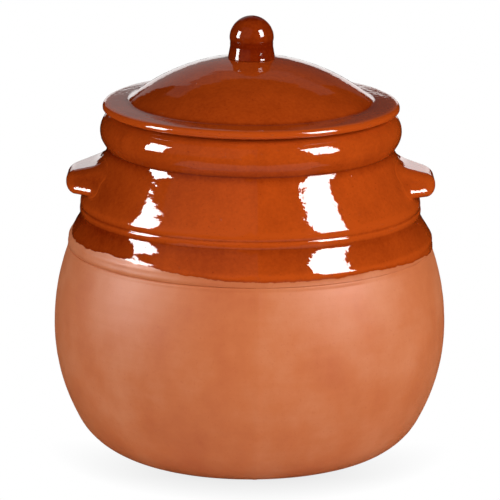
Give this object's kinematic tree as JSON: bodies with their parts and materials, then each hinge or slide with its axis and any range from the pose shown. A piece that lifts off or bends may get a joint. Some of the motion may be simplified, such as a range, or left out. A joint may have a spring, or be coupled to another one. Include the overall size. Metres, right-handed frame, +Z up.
{
  "type": "earthenware fermenting crock",
  "caption": "Round-bellied earthenware crock, bare below and brown glazed above, with lug handles, a domed lid that lifts off and half-round weights inside.",
  "frame": {"origin": "centre of the base, on the surface that the pot stands on", "axes": "+Z up along the pot's axis, +X towards the right handle, -Y towards the viewer"},
  "size_m": [0.3, 0.3, 0.3313],
  "materials": {
    "bare_clay": "unglazed, fine matt fired clay",
    "brown_glaze": "glossy honey-brown glaze",
    "thin_glaze": "thin glossy glaze"
  },
  "bodies": {
    "pot": {"belly": "bare_clay", "neck": "brown_glaze", "left_handle": "brown_glaze", "right_handle": "brown_glaze"},
    "lid": {"lid": "brown_glaze", "lid_locating_ring": "brown_glaze", "lid_knob": "brown_glaze"},
    "left_weight": {"left_weight": "thin_glaze"},
    "right_weight": {"right_weight": "thin_glaze"}
  },
  "joints": [
    {"name": "lid_lift", "type": "slide", "parent": "pot", "child": "lid", "axis": [0, 0, 1], "range_m": [0, 0.15]},
    {"name": "left_weight_lift", "type": "slide", "parent": "pot", "child": "left_weight", "axis": [0, 0, 1], "range_m": [0, 0.2]},
    {"name": "right_weight_lift", "type": "slide", "parent": "pot", "child": "right_weight", "axis": [0, 0, 1], "range_m": [0, 0.2]}
  ]
}
